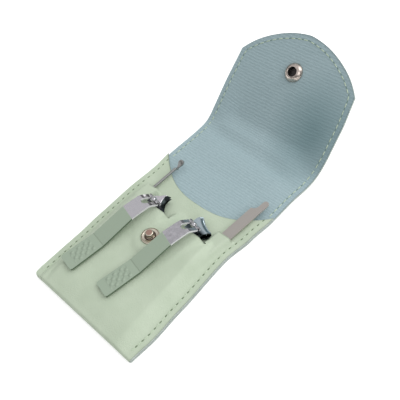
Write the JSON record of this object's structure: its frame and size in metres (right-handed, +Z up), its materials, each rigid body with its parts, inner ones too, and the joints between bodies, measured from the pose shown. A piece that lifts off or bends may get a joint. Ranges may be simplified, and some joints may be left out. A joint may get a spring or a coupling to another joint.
{
  "type": "manicure set case",
  "caption": "Folded leather pouch with a snap flap, holding lever nail clippers, a nail file and an ear pick in slits.",
  "frame": {"origin": "centre of the flat face that the case rests on, midway between the bottom fold and the flap's crease", "axes": "+X across the case, +Y from the bottom fold towards the flap, +Z up out of the resting face"},
  "size_m": [0.07, 0.1726, 0.0431],
  "materials": {
    "green_leather": "fine grain, satin",
    "blue_grey_lining": "ribbed grain, matt",
    "snap_metal": "polished nickel",
    "spring_steel": "drawn wire",
    "chrome": "polished",
    "lever_paint": "satin paint with a bare chromed head",
    "file_steel": "etched file teeth",
    "pick_steel": "satin"
  },
  "bodies": {
    "case": {"case_leather": "green_leather", "case_lining": "blue_grey_lining", "snap_stud": "snap_metal", "snap_eyelet": "snap_metal"},
    "flap": {"flap_leather": "green_leather", "flap_lining": "blue_grey_lining", "snap_cap": "snap_metal", "snap_socket": "snap_metal", "snap_spring": "spring_steel"},
    "left_clipper": {"left_lower_arm": "chrome", "left_rear_rivet": "chrome"},
    "left_squeeze_arm": {"left_upper_arm": "chrome"},
    "left_post": {"left_post_pin": "chrome", "left_cross_pin": "chrome"},
    "left_lever": {"left_lever": "lever_paint"},
    "right_clipper": {"right_lower_arm": "chrome", "right_rear_rivet": "chrome"},
    "right_squeeze_arm": {"right_upper_arm": "chrome"},
    "right_post": {"right_post_pin": "chrome", "right_cross_pin": "chrome"},
    "right_lever": {"right_lever": "lever_paint"},
    "file": {"nail_file": "file_steel"},
    "pick": {"ear_pick": "pick_steel"}
  },
  "joints": [
    {"name": "flap_fold", "type": "hinge", "parent": "case", "child": "flap", "pos_m": [0, 0.05315, 0.0013], "axis": [-1, 0, 0], "range_deg": [-138, 0]},
    {"name": "left_clipper_slide", "type": "slide", "parent": "case", "child": "left_clipper", "axis": [0.1679, 0.9824, 0.0819], "range_m": [0, 0.04]},
    {"name": "left_squeeze", "type": "hinge", "parent": "left_clipper", "child": "left_squeeze_arm", "pos_m": [-0.02045, -0.03337, 0.00297], "axis": [-0.9857, 0.1685, 0], "range_deg": [0, 1.25], "stiffness_Nm_per_rad": 2},
    {"name": "left_lever_swivel", "type": "hinge", "parent": "left_clipper", "child": "left_post", "pos_m": [-0.0129, 0.0108, 0.0032], "axis": [0.005, 0.0292, -0.9996], "range_deg": [0, 180]},
    {"name": "left_lever_lift", "type": "hinge", "parent": "left_post", "child": "left_lever", "pos_m": [-0.01294, 0.01058, 0.0106], "axis": [-0.9857, 0.1685, 0], "range_deg": [0, 150]},
    {"name": "right_clipper_slide", "type": "slide", "parent": "case", "child": "right_clipper", "axis": [0.2072, 0.9749, 0.0819], "range_m": [0, 0.038]},
    {"name": "right_squeeze", "type": "hinge", "parent": "right_clipper", "child": "right_squeeze_arm", "pos_m": [0.00388, -0.03203, 0.00297], "axis": [-0.9781, 0.2079, 0], "range_deg": [0, 1.3], "stiffness_Nm_per_rad": 2},
    {"name": "right_lever_swivel", "type": "hinge", "parent": "right_clipper", "child": "right_post", "pos_m": [0.0132, 0.0118, 0.0032], "axis": [-0.0062, -0.029, 0.9996], "range_deg": [0, 180]},
    {"name": "right_lever_lift", "type": "hinge", "parent": "right_post", "child": "right_lever", "pos_m": [0.01315, 0.01158, 0.0106], "axis": [-0.9781, 0.2079, 0], "range_deg": [0, 150]},
    {"name": "file_slide", "type": "slide", "parent": "case", "child": "file", "axis": [0.0801, 0.9962, 0.0349], "range_m": [0, 0.02]},
    {"name": "pick_slide", "type": "slide", "parent": "case", "child": "pick", "axis": [0.0418, 0.9984, 0.0384], "range_m": [0, 0.02]}
  ]
}
